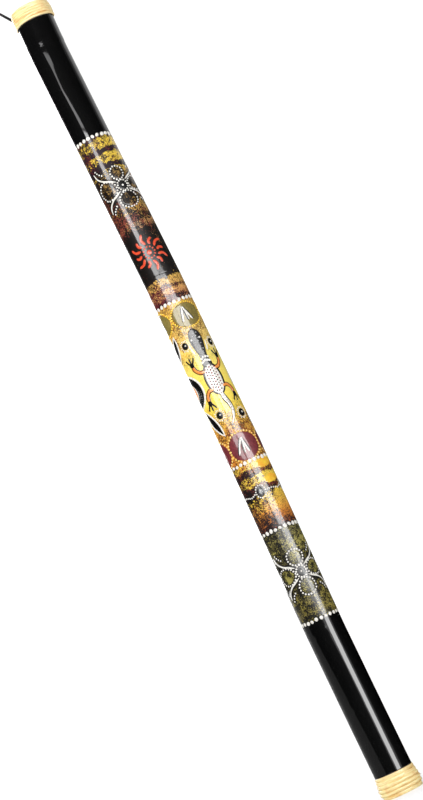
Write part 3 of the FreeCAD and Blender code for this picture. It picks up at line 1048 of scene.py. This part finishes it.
def paint_art():
    """All the raised paint, colour by colour in the inks."""
    for z, droop in DOT_RINGS:
        for k in range(RING_DROPS):
            a = 360 * (k + 0.3) / RING_DROPS + ink.white.random.uniform(-1, 1)
            sag = droop * (1 - cos(radians(a)))
            ink.white.dot(a, z - sag + ink.white.random.uniform(-0.5, 0.5),
                          ink.white.random.uniform(2.4, 3), rise=0.6, sides=16)

    for side in HALVES:
        flower(ink.brown, 21 + side, 909.6, ((9.2, 29.5), (13.4, 36), (13.4, 32.5), (11, 34)))
        flower(ink.green, 8 + side, 325.2, ((11.6, 32), (12, 35), (12, 33), (11.6, 34)))
        burst(2 + side, 808)

    # the panel in the middle: discs along both edges, and figures between them
    for a, wide in ((-80, 21.4), (22, 21.4), (127, 21.4), (204, 10.5)):
        tall = min(16.8, wide)
        disc(a, 708.9, wide, tall, 2.6, 2.6, ink.olive, ink.yellow, (1.5, 1.5), 1.3, 3.6)
        track(a - 3, 710.5, 1.25 * tall, lean=-1.5)
    for a, wide in ((-88, 21.8), (9, 21.8), (107, 21.8), (190, 13)):
        tall = min(19.6, wide)
        disc(a, 511.4, wide, tall, 3.8, 3.2, ink.maroon, ink.lemon, (1.9, 1.8), 1.4, 4.4)
        track(a - 8, 513, 1.15 * tall, lean=3.4, thick=0.75)
    lizard(14, 606.7)
    for a in (-87, 133):
        waterhole(a, 606)
    for side in HALVES:
        for a, z, r in ((-24, 669, 4.6), (60, 662, 4.8), (-18.5, 563, 4.8), (49.5, 555.5, 5)):
            sun(a + side, z, r)
        leaf(-49 + side, 689, -14, -41, 14)
        leaf(-68 + side, 578, 18, -44, 14)
    leaf(112, 690, 8, -36, 10)
    leaf(84, 556, 3, -30, 10)

    # eyes and chains on the narrow band, over two rows of lobes
    z = 445.6
    for k in range(4):
        a = -3 + 90 * k
        ink.black.patch(a, z, oval(5.4, 7.4), lift=0.24)
        ink.white.dots_along(a, z, oval(6.9, 9, 14), 1.15, 3.3, closed=True)
        ink.grey.patch(a, z, oval(2.6, 3.8), lift=0.34)
        ink.white.dot(a, z + 1, 1, rise=0.8)
        chain = [(9.5, -1), (16, -0.4), (21.3, -1.6), (27, -3), (33, -0.6)]
        ink.white.dots_along(a, z, chain, 1.2, 3.3)
    for side in HALVES:
        for v, wide in ((35, 15.5), (12.5, 14.5)):
            ink.amber.patch(48 + side, z, oval(wide, 6, 28, v=v, wobble=0.08), lift=0.14)


# ---- lights ----
# The cards that the gloss reflects: name, radiance and rows, as softbox() takes them.
SOFTBOXES = (
    ("top_softbox", 3.4, (1.562, -31, -7), (1.540, -31, -7), (1.530, -29, -13), (1.51, -29, -20),
     (1.47, -33, -24)),
    ("neck_softbox", 4.4, (1.47, -33, -24), (1.45, -31, -19), (1.41, -27, -12), (1.38, -26, -10)),
    ("upper_softbox", 12.5, (1.37, -27, -9), (1.18, -29, -6), (1.09, -29, -3)),
    ("panel_softbox", 10.0, (1.09, -29, -1), (0.90, -28, -1), (0.84, -26, -1)),
    ("middle_softbox", 8.5, (0.84, -26, -2), (0.62, -24, -2), (0.57, -12, -2), (0.52, -4, -2)),
    ("side_softbox", 12.5, (1.06, -1, 30), (0.60, 6, 44), (0.44, 12, 48), (0.42, 24, 50),
     (0.25, 25, 50), (0.10, 23, 47), (-0.12, 21, 45)),
    ("band_spill", 4.0, (0.46, -28, 24), (0.40, -20, 24), (0.30, 2, 25), (0.26, 8, 25)),
    ("side_spill", 1.6, (0.26, 12, 25), (0.16, 18, 25), (-0.12, 15, 22)),
    ("far_spill", 1.0, (0.40, 49, 57), (-0.12, 45, 58)),
    ("right_wall", 0.24, (1.72, 95, 112), (1.50, 95, 112), (1.30, 98, 112)),
    ("right_window", 0.95, (1.75, 112, 165), (1.25, 112, 165)),
    ("left_wall", 0.28, (0.35, -165, -96), (0.24, -165, -83), (0.13, -165, -65),
     (-0.03, -165, -48), (-0.15, -165, -42)),
    ("back_softbox", 8.0, (1.9, 200, 216), (-0.2, 200, 216)),
)

# ---- put it together ----
make_camera()
make_loop(plain_look("waxed_cord", 0.55, 2600.0, [(0.35, (5, 5, 6)), (0.75, (26, 26, 27))],
                     0.08, 0.7, sheen=0.1))
make_culm(lacquer())
for name, low, high, *layers in GROUNDS:
    make_sleeve(name, low * MM, high * MM, sponged(name, low * MM, high * MM, *layers))
paint_art()
for short, piece, _, *colours in PAINTS:
    getattr(ink, short).done(piece, paint(f"{short}_paint", *colours))
for short, piece, _, *colours in FLECKED_PAINTS:
    getattr(ink, short).done(piece, flecked(*colours))

pale_cane = cane_look("pale_cane", (206, 144, 70), (255, 212, 130), (255, 240, 184), (236, 166, 92))
cane = cane_look("split_cane", (216, 158, 78), (250, 216, 136), (255, 242, 184), (230, 166, 96))
glue = plain_look("dark_glue", 0.6, 400.0, [(0.35, (12, 8, 6)), (0.7, (44, 28, 16))], 0.3, 0.8)
winding("upper_winding", LENGTH, -3.75 * MM, (0.9, 2.1, 2.5, 2.5, 2.4, 2.3), 21, pale_cane,
        "top_cane_binding")
winding("lower_winding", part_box("bottom_cane_binding")[0].z, 5.25 * MM,
        (1.2, 3.0, 3.6, 2.8, 1.8, 0.9), 22, cane, "bottom_cane_binding", twisted_end=True)
make_glue("upper_glue_line", "top_glue_bed", 31, glue,
          ((-80, 2.4), (-36, 0.8), (28, 1.0), (70, 1.6), (140, 1.0), (215, 1.5)))
make_glue("lower_glue_line", "bottom_glue_bed", 32, glue)

end_wood = wood_look("end_wood", (206, 164, 110), (150, 104, 60))
pin_wood = wood_look("pin_wood", (222, 190, 136), (176, 136, 84), 200.0)
for node, obj in frame["nodes"].items():
    wood = end_wood if node.endswith("end_plug") else pin_wood
    if wood is end_wood or node.startswith("cane_pins"):
        obj.data.materials.clear()
        obj.data.materials.append(wood)
seed = plain_look("hard_seed", 0.35, 420.0, [(0.35, (70, 40, 20)), (0.65, (136, 92, 52))],
                  0.05, 0.5, bumps=900.0)
for body, members in frame["record"]["behaviour"]["bodies"].items():
    if body != BODY:
        make_seeds(members[0], body, seed)

make_room()
for box in SOFTBOXES:
    softbox(*box)
area_light("key", (-1.4, -2.6, 2.4), (0, 0, 0.6), 1.6, 1.6, 40.0)
area_light("top_fill", (-0.40, -0.62, 1.50), (0, 0, 1.17), 0.3, 0.3, 2.7)
area_light("backdrop_wash", (0.0, 1.2, 3.0), (0, 4.8, 1.0), 5.0, 1.5, 75.0)
